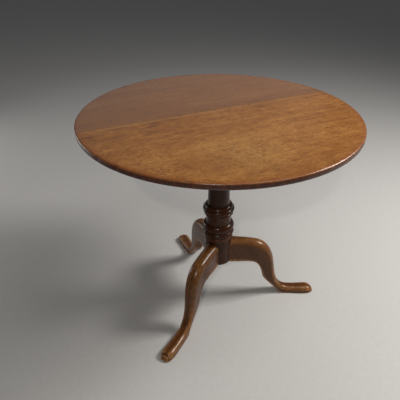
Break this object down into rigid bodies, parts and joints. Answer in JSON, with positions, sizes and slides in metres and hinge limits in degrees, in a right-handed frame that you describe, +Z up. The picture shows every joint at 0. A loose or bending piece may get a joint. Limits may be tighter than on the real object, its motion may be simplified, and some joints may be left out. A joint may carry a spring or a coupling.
{
  "type": "tilt top table",
  "caption": "Round tilt-top tripod table: two-board top on a pivot block, turned column, cabriole legs with slipper feet, and a sprung brass catch.",
  "frame": {"origin": "on the floor under the column's axis, which is also the centre of the top", "axes": "+Z up; the pivot axis and the grain of the top run along X; +Y points from the pivot side to the catch side and near the single rear leg"},
  "size_m": [0.85, 0.85, 0.728],
  "materials": {
    "board_front": "waxed, golden brown",
    "board_rear": "waxed, greyer brown",
    "bearer_wood": "dry, unpolished",
    "block_wood": "dry, unpolished",
    "column_wood": "waxed, dark red brown",
    "wedge_wood": "dry",
    "leg_wood": "waxed, red brown",
    "screw_steel": "dull, darkened",
    "brace_iron": "dull black",
    "catch_brass": "aged",
    "brass_screw": "aged",
    "spring_steel": "satin"
  },
  "bodies": {
    "pedestal": {"column": "column_wood", "pivot_block": "block_wood", "tenon_wedge": "wedge_wood", "leg_rear": "leg_wood", "leg_left": "leg_wood", "leg_right": "leg_wood", "leg_brace_plate": "brace_iron", "brace_screws": "screw_steel", "keeper_plate": "catch_brass", "keeper_screws": "brass_screw"},
    "top": {"top_board_front": "board_front", "top_board_rear": "board_rear", "bearer_left": "bearer_wood", "bearer_right": "bearer_wood", "bearer_screws_left": "screw_steel", "bearer_screws_right": "screw_steel", "catch_plate": "catch_brass", "catch_case": "catch_brass", "catch_screws": "brass_screw", "catch_spring": "spring_steel"},
    "bolt": {"catch_bolt": "catch_brass", "catch_knob": "catch_brass"}
  },
  "joints": [
    {"name": "top_tilt", "type": "hinge", "parent": "pedestal", "child": "top", "pos_m": [0, -0.1, 0.6895], "axis": [1, 0, 0], "range_deg": [0, 90]},
    {"name": "catch_slide", "type": "slide", "parent": "top", "child": "bolt", "axis": [0, 1, 0], "range_m": [0, 0.009], "stiffness_N_per_m": 250, "springref_m": -0.006, "deforming": ["catch_spring"]}
  ]
}
